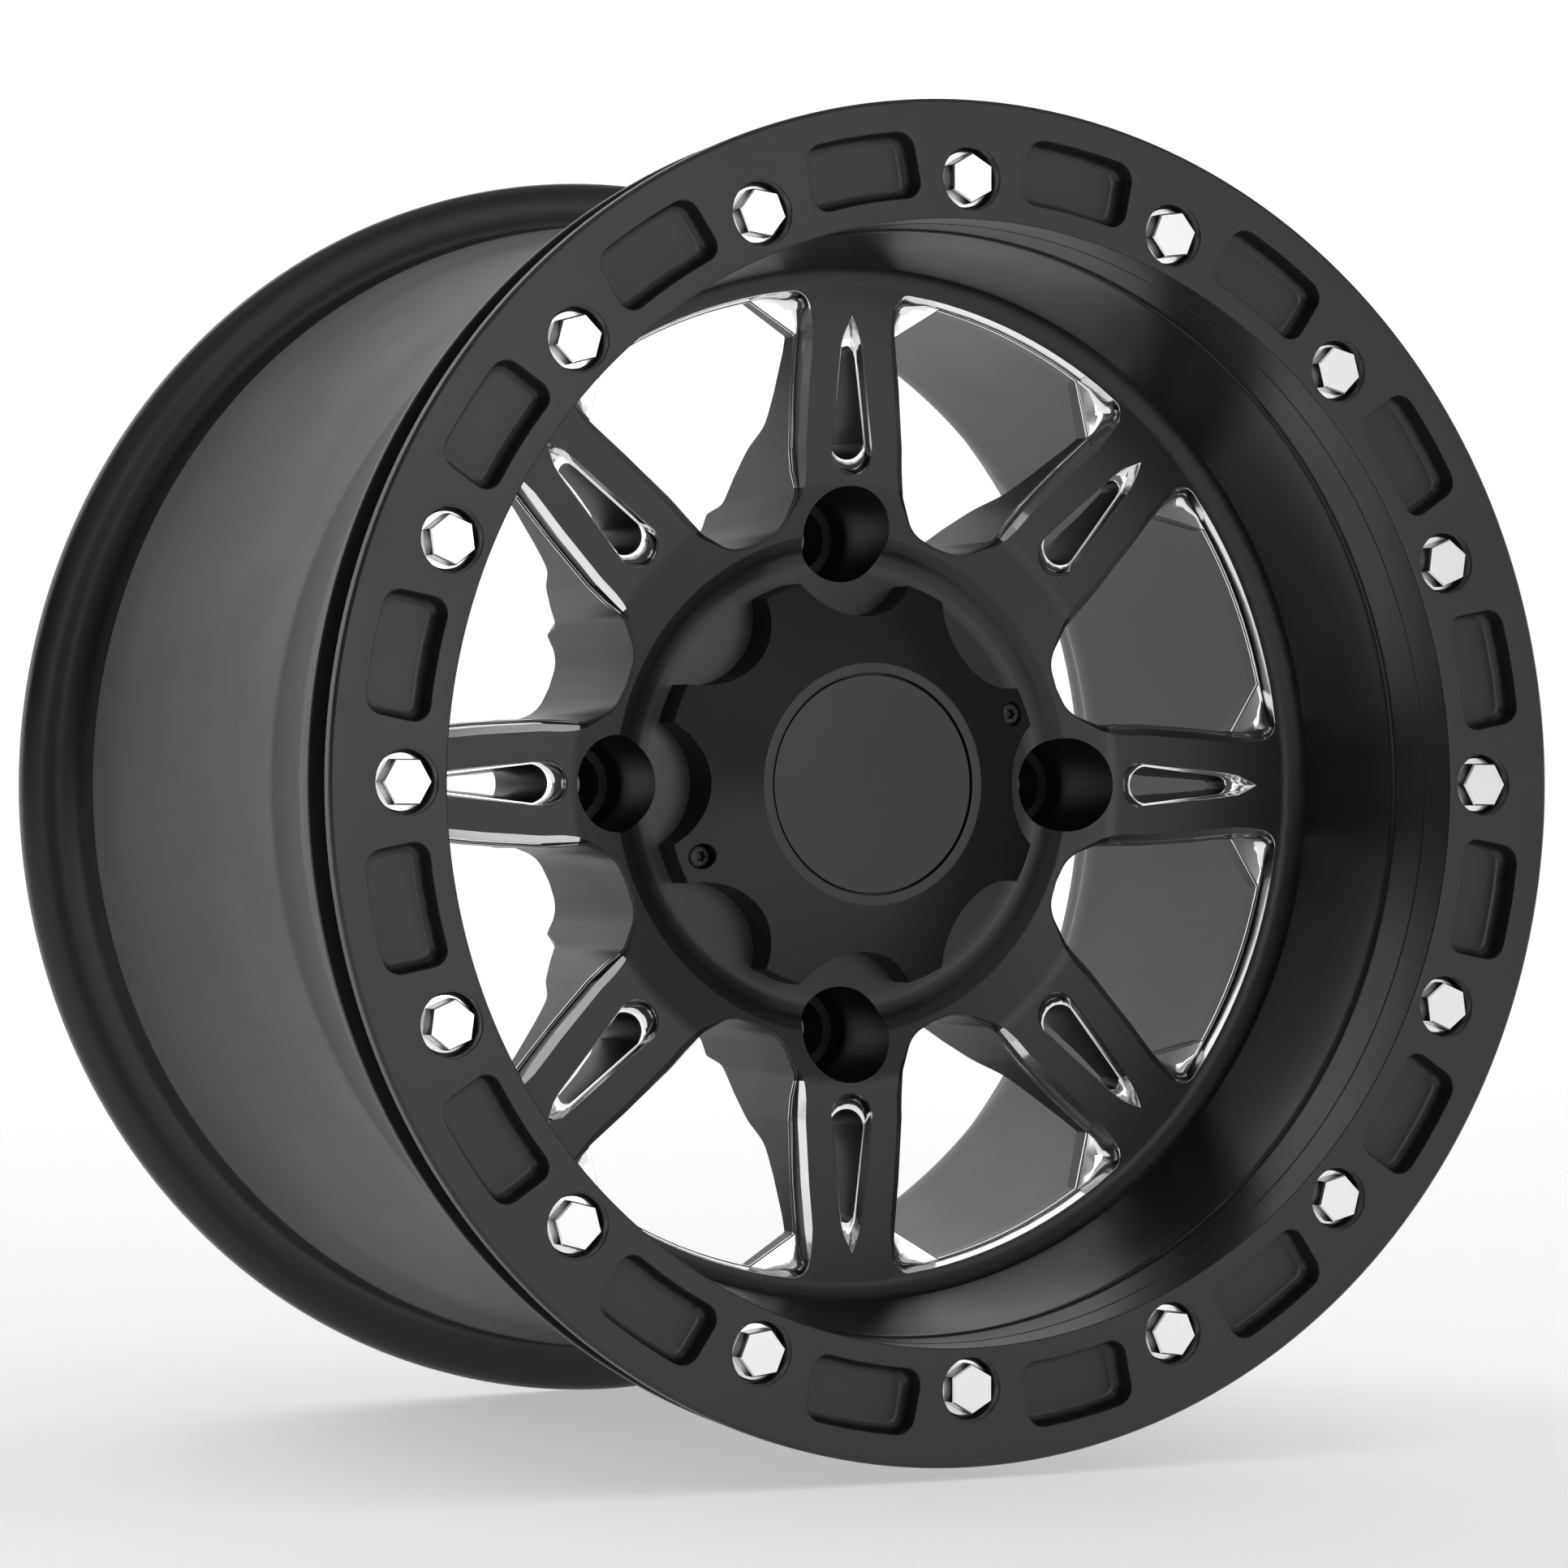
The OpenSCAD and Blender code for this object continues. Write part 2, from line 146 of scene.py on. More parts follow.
class Geo:
    def __init__(self):
        self.v, self.f, self.m = [], [], []

    def loft(self, rings, mats, caps=(None, None)):
        """Equal rings of (x, depth, z); mats[k] is the band from ring k to k + 1."""
        base = len(self.v)
        n = len(rings[0])
        for r in rings:
            self.v += r
        for k in range(len(rings) - 1):
            for i in range(n):
                a, b = base + k * n + i, base + k * n + (i + 1) % n
                self.f.append((a, b, b + n, a + n))
                self.m.append(mats[k])
        for ring, mat in ((0, caps[0]), (len(rings) - 1, caps[1])):
            if mat is not None:
                self.f.append(tuple(base + ring * n + i for i in range(n)))
                self.m.append(mat)

    def add(self, other, a=0.0):
        """A copy of another body, turned about the wheel's axis."""
        base = len(self.v)
        for x, d, z in other.v:
            px, pz = spin(x, z, a)
            self.v.append((px, d, pz))
        self.f += [tuple(i + base for i in f) for f in other.f]
        self.m += other.m

    def floor(self, first, height, spacing, mat):
        """Close the loop of vertices from index first on with a surface depth = height(x, z)."""
        loop = [(self.v[i][0], self.v[i][2]) for i in range(first, len(self.v))]
        n = len(loop)
        x0, x1 = min(p[0] for p in loop), max(p[0] for p in loop)
        z0, z1 = min(p[1] for p in loop), max(p[1] for p in loop)
        extra = []
        for i in range(1, int((x1 - x0) / spacing) + 1):
            for j in range(1, int((z1 - z0) / spacing) + 1):
                x, z = x0 + i * spacing, z0 + j * spacing
                near, hit = 1e9, False
                for k in range(n):
                    (ax, az), (bx, bz) = loop[k - 1], loop[k]
                    t = max(0.0, min(1.0, ((x - ax) * (bx - ax) + (z - az) * (bz - az)) / max(1e-12, (bx - ax) ** 2 + (bz - az) ** 2)))
                    near = min(near, math.hypot(ax + (bx - ax) * t - x, az + (bz - az) * t - z))
                    if (az > z) != (bz > z) and x < ax + (bx - ax) * (z - az) / (bz - az):
                        hit = not hit
                if hit and near > spacing * 0.45:
                    extra.append((x, z))
        out = delaunay_2d_cdt([Vector(p) for p in loop + extra], [(i, (i + 1) % n) for i in range(n)], [], 1, 1e-7)
        index = []
        for p, src in zip(out[0], out[3]):
            low = [i for i in src if i < n]
            if low:
                index.append(first + low[0])
            else:
                index.append(len(self.v))
                self.v.append((p.x, height(p.x, p.y), p.y))
        for f in out[2]:
            self.f.append(tuple(index[i] for i in f))
            self.m.append(mat)

    def revolve(self, profile, n, mats=0, cx=0.0, cz=0.0, start=0.0, closed=True):
        """profile is (radius, depth); a radius of 0 is a point on the axis."""
        base = len(self.v)
        idx = []
        for r, d in profile:
            if r <= 1e-9:
                idx.append([len(self.v)] * n)
                self.v.append((cx, d, cz))
            else:
                idx.append(list(range(len(self.v), len(self.v) + n)))
                for i in range(n):
                    a = start + 2 * math.pi * i / n
                    self.v.append((cx + r * math.cos(a), d, cz + r * math.sin(a)))
        count = len(profile) if closed else len(profile) - 1
        for k in range(count):
            p, q = idx[k], idx[(k + 1) % len(profile)]
            if p[0] == p[-1] and q[0] == q[-1]:
                continue
            mat = mats if isinstance(mats, int) else mats[k]
            for i in range(n):
                j = (i + 1) % n
                quad = []
                for w in (p[i], p[j], q[j], q[i]):
                    if w not in quad:
                        quad.append(w)
                self.f.append(tuple(quad))
                self.m.append(mat)
        return base

    def obj(self, name, mats):
        me = bpy.data.meshes.new(name)
        me.from_pydata([(x, d - FACE, z) for x, d, z in self.v], [], self.f)
        for mat in mats:
            me.materials.append(mat)
        me.polygons.foreach_set("material_index", self.m)
        bm = bmesh.new()
        bm.from_mesh(me)
        bmesh.ops.remove_doubles(bm, verts=bm.verts, dist=1e-4)
        bmesh.ops.recalc_face_normals(bm, faces=bm.faces)
        bm.to_mesh(me)
        bm.free()
        me.validate()
        ob = bpy.data.objects.new(name, me)
        bpy.context.scene.collection.objects.link(ob)
        return ob


def spin(u, t, a):
    """Local (along the spoke or window, across it) to x, z."""
    return u * math.cos(a) - t * math.sin(a), u * math.sin(a) + t * math.cos(a)


def triangulate(ob):
    bm = bmesh.new()
    bm.from_mesh(ob.data)
    bmesh.ops.triangulate(bm, faces=bm.faces)
    bm.to_mesh(ob.data)
    bm.free()


def cut(ob, cutter):
    triangulate(ob)
    triangulate(cutter)
    m = ob.modifiers.new("cut", "BOOLEAN")
    m.operation = "DIFFERENCE"
    m.solver = "EXACT"
    m.material_mode = "INDEX"
    m.object = cutter
    dg = bpy.context.evaluated_depsgraph_get()
    me = bpy.data.meshes.new_from_object(ob.evaluated_get(dg))
    ob.modifiers.clear()
    old = ob.data
    me.name = ob.name
    ob.data = me
    bpy.data.meshes.remove(old)
    bpy.data.objects.remove(cutter)


def finish(ob, angle=30, weighted=True):
    """Smooth shading with crisp edges, and face-weighted normals."""
    me = ob.data
    bm = bmesh.new()
    bm.from_mesh(me)
    bmesh.ops.remove_doubles(bm, verts=bm.verts, dist=2e-3)
    bmesh.ops.dissolve_degenerate(bm, edges=bm.edges, dist=2e-3)
    bm.to_mesh(me)
    bm.free()
    me.transform(Matrix.Scale(0.001, 4))
    me.shade_smooth()
    me.set_sharp_from_angle(angle=R(angle))
    if weighted:
        m = ob.modifiers.new("normals", "WEIGHTED_NORMAL")
        m.mode = "FACE_AREA"
        m.keep_sharp = True
        dg = bpy.context.evaluated_depsgraph_get()
        new = bpy.data.meshes.new_from_object(ob.evaluated_get(dg))
        ob.modifiers.clear()
        new.name = ob.name
        ob.data = new
        bpy.data.meshes.remove(me)
    return ob


def place(ob, node):
    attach(ob, "root")
    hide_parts(node)


# ------------------------------------------------------------------ materials

def principled(name, color, rough, metal=0.0, spec=0.5, ior=1.5):
    mat = bpy.data.materials.new(name)
    mat.use_nodes = True
    b = mat.node_tree.nodes["Principled BSDF"]
    b.inputs["Base Color"].default_value = (*color, 1)
    b.inputs["Roughness"].default_value = rough
    b.inputs["Metallic"].default_value = metal
    b.inputs["IOR"].default_value = ior
    b.inputs["Specular IOR Level"].default_value = spec
    return mat, mat.node_tree, b


def node(nt, kind, **values):
    n = nt.nodes.new(kind)
    for k, v in values.items():
        if k in n.inputs:
            n.inputs[k].default_value = v
        else:
            setattr(n, k, v)
    return n


def coords(nt):
    return nt.nodes.new("ShaderNodeTexCoord").outputs["Object"]


def coat(name, color, rough, speck=2600.0, bump=0.012, spread=0.03, spec=0.5):
    """Satin powder coat: fine orange peel, faint cloudiness in tone and gloss."""
    mat, nt, b = principled(name, color, rough, spec=spec)
    tc = coords(nt)
    big = node(nt, "ShaderNodeTexNoise", Scale=22.0, Detail=3.0, Roughness=0.6)
    nt.links.new(tc, big.inputs["Vector"])
    ramp = node(nt, "ShaderNodeMapRange")
    ramp.inputs["From Min"].default_value = 0.3
    ramp.inputs["From Max"].default_value = 0.7
    ramp.inputs["To Min"].default_value = rough - spread
    ramp.inputs["To Max"].default_value = rough + spread
    nt.links.new(big.outputs["Fac"], ramp.inputs["Value"])
    nt.links.new(ramp.outputs["Result"], b.inputs["Roughness"])
    tone = node(nt, "ShaderNodeValToRGB")
    tone.color_ramp.elements[0].position = 0.3
    tone.color_ramp.elements[1].position = 0.7
    tone.color_ramp.elements[0].color = (*[c * 0.93 for c in color], 1)
    tone.color_ramp.elements[1].color = (*[c * 1.07 for c in color], 1)
    nt.links.new(big.outputs["Fac"], tone.inputs["Fac"])
    nt.links.new(tone.outputs["Color"], b.inputs["Base Color"])
    fine = node(nt, "ShaderNodeTexNoise", Scale=speck, Detail=2.0, Roughness=0.5)
    nt.links.new(tc, fine.inputs["Vector"])
    bp = node(nt, "ShaderNodeBump", Strength=bump, Distance=0.0002)
    nt.links.new(fine.outputs["Fac"], bp.inputs["Height"])
    nt.links.new(bp.outputs["Normal"], b.inputs["Normal"])
    return mat


def bright(name, color, rough, lines=1500.0, bump=0.03):
    """Milled or plated metal with faint tool marks."""
    mat, nt, b = principled(name, color, rough, metal=1.0)
    tc = coords(nt)
    n1 = node(nt, "ShaderNodeTexNoise", Scale=lines, Detail=2.0, Roughness=0.6)
    nt.links.new(tc, n1.inputs["Vector"])
    ramp = node(nt, "ShaderNodeMapRange")
    ramp.inputs["To Min"].default_value = rough * 0.8
    ramp.inputs["To Max"].default_value = rough * 1.25
    nt.links.new(n1.outputs["Fac"], ramp.inputs["Value"])
    nt.links.new(ramp.outputs["Result"], b.inputs["Roughness"])
    bp = node(nt, "ShaderNodeBump", Strength=bump, Distance=0.0001)
    nt.links.new(n1.outputs["Fac"], bp.inputs["Height"])
    nt.links.new(bp.outputs["Normal"], b.inputs["Normal"])
    return mat


BLACK = (0.0125, 0.0125, 0.0128)
m_wheel = coat("wheel_black", BLACK, 0.36)
m_mill = bright("milled_edge", (0.93, 0.93, 0.935), 0.13)
m_ring = coat("ring_black", (0.0135, 0.0135, 0.0138), 0.36)
m_cap = coat("cap_black", (0.011, 0.011, 0.0113), 0.34)
m_disc = coat("disc_black", (0.013, 0.013, 0.0133), 0.33, bump=0.008)
m_bolt = bright("bolt_plate", (0.93, 0.93, 0.935), 0.2, bump=0.015)
m_screw = coat("screw_oxide", (0.006, 0.006, 0.0062), 0.45)
m_steel = bright("insert_steel", (0.55, 0.55, 0.54), 0.3)
m_brass = bright("core_brass", (0.75, 0.56, 0.25), 0.28)
m_valve = bright("valve_plate", (0.75, 0.75, 0.76), 0.22)
m_rubber = coat("rubber_black", (0.018, 0.018, 0.018), 0.7, speck=1800.0, bump=0.05, spec=0.3)
m_foam = coat("seal_foam", (0.08, 0.08, 0.08), 0.85, speck=900.0, bump=0.2, spec=0.2)
m_plastic = coat("valve_cap_plastic", (0.015, 0.015, 0.016), 0.45, speck=1500.0, bump=0.03)

# ------------------------------------------------------------------ wheel

# Front land, beadlock flange, seat and cone: (radius, depth, fillet, steps)
front = rounded([(167.8, 15, 0.4, 2), (190, 15, 0.7, 2), (190, 20, 0.4, 2), (202.5, 20, 0.6, 3), (202.5, 23, 1.2, 4),
                 (191, 24.6, 3.5, 5), (189.6, 44, 30, 3), (189.6, 61, 36, 5), (177.3, 118.5, 40, 5), (177, 150, 0, 1), (100, 150, 0, 1)])[:-2]
back = (spline([(177, 150), (177.25, 167), (178.6, 186), (181.6, 209), (184.9, 229), (187.2, 241), (190.1, 251.3)], 4)
        + spline([(190.1, 251.31), (189, 254), (189.2, 258), (190.6, 264), (192.5, 267.3), (196, 269), (201.5, 269.6), (205.3, 271.2),
                  (207, 274), (207, 277), (205.3, 279.9), (202, 281), (196.5, 281), (191, 279.5), (187.5, 275.5), (186, 270)], 3)[1:])
inside = (spline([(186, 270), (185.2, 264), (183.4, 258), (177.6, 248.7), (171.9, 239.5), (170.4, 234.5), (170, 228)], 4)[1:]
          + spline([(170, 120), (169.3, 111), (166.5, 102.5), (162, 96), (157.5, 92.3), (153, 91)], 3))
spokes_back = rounded([(153, 91, 0, 1), (136, 93.6, 20, 2), (124, 97.7, 20, 2), (114, 103, 12, 3), (108, 114, 12, 3), (91, 136, 6, 3),
                       (89, 145, 1, 2), (66, 145, 1, 2), (66, 128, 0.3, 2), (59, 128, 0.5, 2), (59, 100, 0.5, 2), (45, 100, 0.4, 2), (45, 87, 0.4, 2), (66, 89.1, 0, 1), (66, 60, 0, 1)])[1:-2]
cove = spline([(66, 89.1), (69.2, 89.1), (71.2, 88.7), (73.3, 87.9), (75.2, 86.6)], 3)
hub_face = rounded([(75.2, 86.6, 0, 1), (78.3, 84.7, 2.2, 4), (93, 80.4, 16, 4), (161, 80.4, 7, 8), (162.9, 62, 0, 1), (10, 40, 0, 1)])[1:-2]
dish = (spline([(160.2, 73.0), (162.6, 62), (164.9, 50), (166.3, 40), (166.9, 33)], 4)
        + [(167.1, 32.3), (167.6, 31.8), (167.8, 31.2)])
wheel_profile = [(min(r, 206.98), min(d, 280.98)) for r, d in front + back + inside + spokes_back + cove + hub_face + dish]

SEG = 240
g = Geo()
g.revolve(wheel_profile, SEG)
wheel = g.obj("wheel_cast", [m_wheel, m_mill])


def face_at(r):
    """Depth of the spokes' front face at a radius."""
    if r >= 93:
        return 80.4
    return 80.4 + (93 - r) * 0.29


# Windows: the milled outline and the cast opening inside it
ARC = 154.05
half = [(80.9, 9, 12, 9), (90, 18.2, 8, 8), (103.2, 23.2, 22, 6), (121, 31.8, 34, 4), (147.2, 45.6, 5.1, 10)]
half_open = [(80.9, 9, 12, 9), (90, 18.2, 8, 8), (103.2, 23.2, 22, 6), (121, 31.8, 34, 4), (135.6, 39.4, 2.6, 5), (151.6, 27.6, 2.6, 5)]


def whole(P, arc):
    return ([(80.2, 0, 0, 1)] + [(u, -t, r, n) for u, t, r, n in P]
            + [(ARC * math.cos(R(a)), ARC * math.sin(R(a)), 0, 1) for a in arc] + P[::-1])


win = Outline(whole(half, [-12 + 2 * k for k in range(13)]), 5.0)
win_open = Outline(whole(half_open, [-9 + 2 * k for k in range(10)]), 5.0)


def between(P, x):
    """Value at x on the line through the points (x, y)."""
    for (x0, y0), (x1, y1) in zip(P, P[1:]):
        if x <= x1:
            return y0 + (y1 - y0) * max(0.0, (x - x0) / (x1 - x0))
    return P[-1][1]


def corner_weight(u, t):
    return 1 - step(2.0, 13.0, math.hypot(u - 147.2, abs(t) - 43.5))


def thin(u, t, least=0.3):
    """How much narrower the milled line is towards the hub."""
    return least + (1 - least) * step(84, 101, math.hypot(u, t))


def bevel_width(u, t):
    """Width of the bevel between the face and the milled line, along a spoke's edge; the bevel is milled metal, black
    towards the hub.
    """
    return (0.12 + 2.1 * (1 - step(132, 146, u))) * thin(u, t, 0.2)


def floor_at(u, t):
    """Depth of the milled step's floor."""
    r = math.hypot(u, t)
    d = between([(84, 1.8), (100, 3.6), (120, 4.8), (139, 5.4), (153, 4.7)], r) * step(82, 100, u)
    return face_at(r) + max(d, 0.55 * bevel_width(u, t) + 0.12)


pocket_rings = []
att = [(corner_weight(u, t), bevel_width(u, t), face_at(math.hypot(u, t))) for u, t in win.base]
pocket_rings.append([(*win.at(-(b * 1.25 + 0.05))[i], 70.0) for i, (w, b, s) in enumerate(att)])
pocket_rings.append([(*win.at(-(b * 1.25 + 0.05))[i], s - 0.14 * b - 0.03) for i, (w, b, s) in enumerate(att)])
pocket_rings.append([(*win.at(0.0)[i], s + 0.55 * b) for i, (w, b, s) in enumerate(att)])
for gk in (0.05, 0.12, 0.22, 0.35, 0.5, 0.68, 1.0):
    f = 1 - (1 - gk) ** 2.6
    ring = []
    for i, (w, b, s) in enumerate(att):
        u, t = win.base[i]
        E = (1.5 + 4.4 * w) * thin(u, t)
        end = floor_at(*win.at(E)[i])
        u, t = win.at(E * gk)[i]
        ring.append((u, t, s + 0.55 * b + (end - s - 0.55 * b) * f))
    pocket_rings.append(ring)
pocket = Geo()
pocket.loft([[(u, d, t) for u, t, d in ring] for ring in pocket_rings], [0] + [1] * (len(pocket_rings) - 2), (0, None))
pocket.floor(len(pocket.v) - len(win.base), floor_at, 6.0, 1)

def opened(e):
    """The cast opening's outline, moved in by e, and by less towards the hub."""
    return [win_open.at(e * thin(*q))[i] for i, q in enumerate(win_open.base)]


open_rings = [[(*p, 68.0) for p in opened(1.1)]]
floors = [floor_at(*q) for q in opened(1.25)]
for e, dz in ((1.1, -0.12), (1.2, 0.02), (1.4, 0.22), (1.5, 0.5), (1.55, 1.0)):
    open_rings.append([(*p, z + dz) for p, z in zip(opened(e), floors)])
open_rings.append([(*p, 150.0) for p in opened(1.9)])
opening = Geo()
opening.loft([[(u, d, t) for u, t, d in ring] for ring in open_rings], [1, 1, 1, 1, 1, 0], (0, 0))
for part in (pocket, opening):
    for i, f in enumerate(part.f):
        if math.hypot(sum(part.v[k][0] for k in f) / len(f), sum(part.v[k][2] for k in f) / len(f)) < 95:
            part.m[i] = 0  # towards the hub the edge is black
pockets, opens = Geo(), Geo()
for k in range(8):
    pockets.add(pocket, R(22.5 + 45 * k))
    opens.add(opening, R(22.5 + 45 * k))

# Slots: outline at the face, floor of the milled step, and the opening
def along(A, B, n):
    return [(A[0] + (B[0] - A[0]) * k / n, A[1] + (B[1] - A[1]) * k / n) for k in range(n)]


def slot_outline(tip, s1, s2, cu, cr, steps=14, top=96):
    """Pointed end at (tip, 0), two shoulder points, and a round end towards the hub."""
    end = [(cu + cr * math.cos(R(top + (360 - 2 * top) * k / steps)), cr * math.sin(R(top + (360 - 2 * top) * k / steps))) for k in range(steps + 1)]
    up = along(tip, s1, 4) + along(s1, s2, 3) + along(s2, end[0], 8)
    return up + end + [(u, -t) for u, t in up[:0:-1]]


edge = slot_outline((145.3, 0.0), (139.4, 2.73), (136.1, 3.46), 103.2, 6.84)
floor_ = slot_outline((139.2, 0.0), (138.4, 2.0), (135.8, 3.0), 106.7, 6.4)
wide = slot_outline((145.9, 0.0), (139.6, 3.1), (136.2, 3.95), 103.2, 7.4)
slot_rings = [[(u, t, 70.0) for u, t in wide], [(u, t, 80.25) for u, t in wide], [(u, t, 80.75) for u, t in edge]]
for gk in (0.08, 0.18, 0.32, 0.5, 0.72, 1.0):
    f = 1 - (1 - gk) ** 2.2
    slot_rings.append([(p[0] + (q[0] - p[0]) * gk, p[1] + (q[1] - p[1]) * gk, 80.75 + 3.6 * f) for p, q in zip(edge, floor_)])
slot_mats = [0] + [1] * 7
hole1 = slot_outline((136.9, 0.0), (136.5, 1.7), (135.2, 2.75), 107.0, 6.1)
hole2 = slot_outline((136.5, 0.0), (136.1, 1.5), (134.9, 2.5), 107.2, 5.85)
hole3 = slot_outline((134.6, 0.0), (134.2, 0.5), (133.2, 1.0), 107.5, 4.2)
hole_rings = [[(u, t, d) for u, t in h] for h, d in ((hole1, 69.0), (hole1, 84.2), (hole2, 84.6), (hole3, 101.0), (hole3, 150.0))]
hole_mats = [1, 1, 0, 0]
slot, hole = Geo(), Geo()
slot.loft([[(u, d, t) for u, t, d in ring] for ring in slot_rings], slot_mats, (0, 1))
hole.loft([[(u, d, t) for u, t, d in ring] for ring in hole_rings], hole_mats, (0, 0))
slots, holes = Geo(), Geo()
for k in range(8):
    slots.add(slot, R(45 * k))
    holes.add(hole, R(45 * k))

bores = Geo()
for k in range(4):
    a = R(90 * k)
    bores.revolve([(0, 60), (14.9, 60), (14.9, 118.2), (14.6, 118.9), (13.1, 121.7), (10.2, 121.7), (6.5, 128.1), (6.5, 160), (0, 160)], 64,
                  cx=78 * math.cos(a), cz=78 * math.sin(a))
for k in range(16):
    a = R(22.5 * k)
    bores.revolve([(0, 5), (6.5, 5), (6.5, 33), (0, 33)], 32, cx=180.1 * math.cos(a), cz=180.1 * math.sin(a))
for k in range(2):
    a = R(22.5 + 180 * k)
    bores.revolve([(0, 80), (2.05, 80), (2.05, 104), (0, 104)], 24, cx=58 * math.cos(a), cz=58 * math.sin(a))

MATS = [m_wheel, m_mill]
cut(wheel, bores.obj("cut_bores", MATS))
cut(wheel, pockets.obj("cut_pockets", MATS))
cut(wheel, opens.obj("cut_opens", MATS))
cut(wheel, slots.obj("cut_slots", MATS))
cut(wheel, holes.obj("cut_holes", MATS))

# Valve hole with its two spot faces, along the radius at 112.5 degrees
va = R(112.5)
one, valve = Geo(), Geo()
one.revolve([(0, 160), (11, 160), (11, 170.6), (5.7, 170.6), (5.7, 176), (11, 176), (11, 184), (0, 184)], 48)
valve.v = [(spin(d, z, va)[0], 142 + x, spin(d, z, va)[1]) for x, d, z in one.v]
valve.f, valve.m = one.f, one.m
cut(wheel, valve.obj("cut_valve", MATS))
finish(wheel, 28)
place(wheel, "wheel")

# ------------------------------------------------------------------ ring

ring_profile = rounded([(167.8, 0, 0.6, 3), (203.5, 0, 1.3, 5), (203.5, 4.5, 0.6, 3), (199, 4.7, 5, 3), (193.5, 8.5, 4, 4), (190.8, 15, 0.6, 3), (167.8, 15, 0.5, 2)])
g = Geo()
g.revolve(ring_profile, SEG)
ring = g.obj("ring_cast", [m_ring])
pk = Outline([(174.4 * math.cos(R(-5.9)), 174.4 * math.sin(R(-5.9)), 4.8, 8), (194 * math.cos(R(-5.3)), 194 * math.sin(R(-5.3)), 5.4, 8)]
             + [(194 * math.cos(R(a)), 194 * math.sin(R(a)), 0, 1) for a in (-2.6, -1.3, 0, 1.3, 2.6)]
             + [(194 * math.cos(R(5.3)), 194 * math.sin(R(5.3)), 5.4, 8), (174.4 * math.cos(R(5.9)), 174.4 * math.sin(R(5.9)), 4.8, 8)]
             + [(174.4 * math.cos(R(a)), 174.4 * math.sin(R(a)), 0, 1) for a in (2.6, 1.3, 0, -1.3, -2.6)], 4.0)
levels = [(-0.42, -2.0), (-0.42, -0.02), (-0.25, 0.05), (-0.1, 0.18), (0.0, 0.42), (0.05, 5.0)]
for k in range(1, 7):
    th = R(15 * k)
    levels.append((0.05 + 2.9 * (1 - math.cos(th)), 5.0 + 2.9 * math.sin(th)))
cutp = Geo()
for k in range(16):
    a = R(11.25 + 22.5 * k)
    cutp.loft([[(spin(u, t, a)[0], d, spin(u, t, a)[1]) for u, t in pk.at(e)] for e, d in levels], [0] * (len(levels) - 1), (0, 0))
cutb = Geo()
for k in range(16):
    a = R(22.5 * k)
    cutb.revolve([(0, -3), (9.95, -3), (9.95, -0.02), (9.7, 0.06), (9.5, 0.25), (9.4, 0.6), (9.4, 7.3), (4.5, 7.3), (4.5, 20), (0, 20)], 56,
                 cx=180.1 * math.cos(a), cz=180.1 * math.sin(a))
cut(ring, cutp.obj("cut_p", [m_ring]))
cut(ring, cutb.obj("cut_b", [m_ring]))
finish(ring, 28)
place(ring, "beadlock_ring")

# ------------------------------------------------------------------ bolts

def hex_r(a, af):
    """Radius of a hexagon with a corner at angle 0."""
    a = (a + math.pi / 6) % (math.pi / 3) - math.pi / 6
    return af / 2 / math.cos(math.pi / 6 - abs(a))


bolts = Geo()
NB = 48
for k in range(16):
    a0 = R(22.5 * k)
    cx, cz = 180.1 * math.cos(a0), 180.1 * math.sin(a0)
    rings = []

    def layer(fn, d):
        rings.append([(cx + fn(2 * math.pi * i / NB) * math.cos(a0 + 2 * math.pi * i / NB), d,
                       cz + fn(2 * math.pi * i / NB) * math.sin(a0 + 2 * math.pi * i / NB)) for i in range(NB)])

    layer(lambda a: 3.0, 30.0)
    layer(lambda a: 4.0, 29.0)
    layer(lambda a: 4.0, 7.3)
    layer(lambda a: 8.3, 7.3)
    layer(lambda a: 8.6, 7.0)
    layer(lambda a: 8.6, 5.6)
    layer(lambda a: 8.52, 5.3)
    layer(lambda a: 8.25, 5.1)
    layer(lambda a: hex_r(a, 13.0) + 0.06, 5.03)
    layer(lambda a: hex_r(a, 13.0), 4.9)
    layer(lambda a: hex_r(a, 13.0), -0.2)
    layer(lambda a: hex_r(a, 12.2), -0.75)
    bolts.loft(rings, [0] * (len(rings) - 1), (0, 0))
bolt = bolts.obj("flange_bolts", [m_bolt])
finish(bolt, 24)
place(bolt, "beadlock_bolts")

# ------------------------------------------------------------------ centre cap

cap_profile = rounded([(0, 67.6, 0, 1), (34.3, 67.6, 0, 1), (34.3, 65.1, 0.25, 2), (37.4, 65.1, 0.5, 2), (64.75, 78.1, 0.5, 3), (64.75, 88.975, 0, 1),
                       (44.8, 86.98, 0, 1), (44.8, 93, 0, 1), (42.9, 93, 0, 1), (42.9, 96.6, 0, 1), (44.8, 96.6, 0, 1), (44.8, 98.2, 0, 1), (44.2, 99, 0, 1),
                       (41, 99, 0.4, 2), (41, 74.5, 2, 3), (37, 71, 2, 3), (0, 71, 0, 1)])
g = Geo()
g.revolve(cap_profile, 192)
cap = g.obj("cap_cast", [m_cap])
cutc = Geo()
for k in range(8):
    a = R(45 * k)
    cutc.revolve([(0, 50), (22.7, 50), (22.7, 120), (0, 120)], 96, cx=74.6 * math.cos(a), cz=74.6 * math.sin(a))
cuts = Geo()
for k in range(2):
    a = R(22.5 + 180 * k)
    cuts.revolve([(0, 60), (3.95, 60), (3.95, 80), (2.2, 80), (2.2, 92), (0, 92)], 40, cx=58 * math.cos(a), cz=58 * math.sin(a))
cut(cap, cutc.obj("cut_c", [m_cap]))
cut(cap, cuts.obj("cut_s", [m_cap]))
finish(cap, 28)
place(cap, "centre_cap")

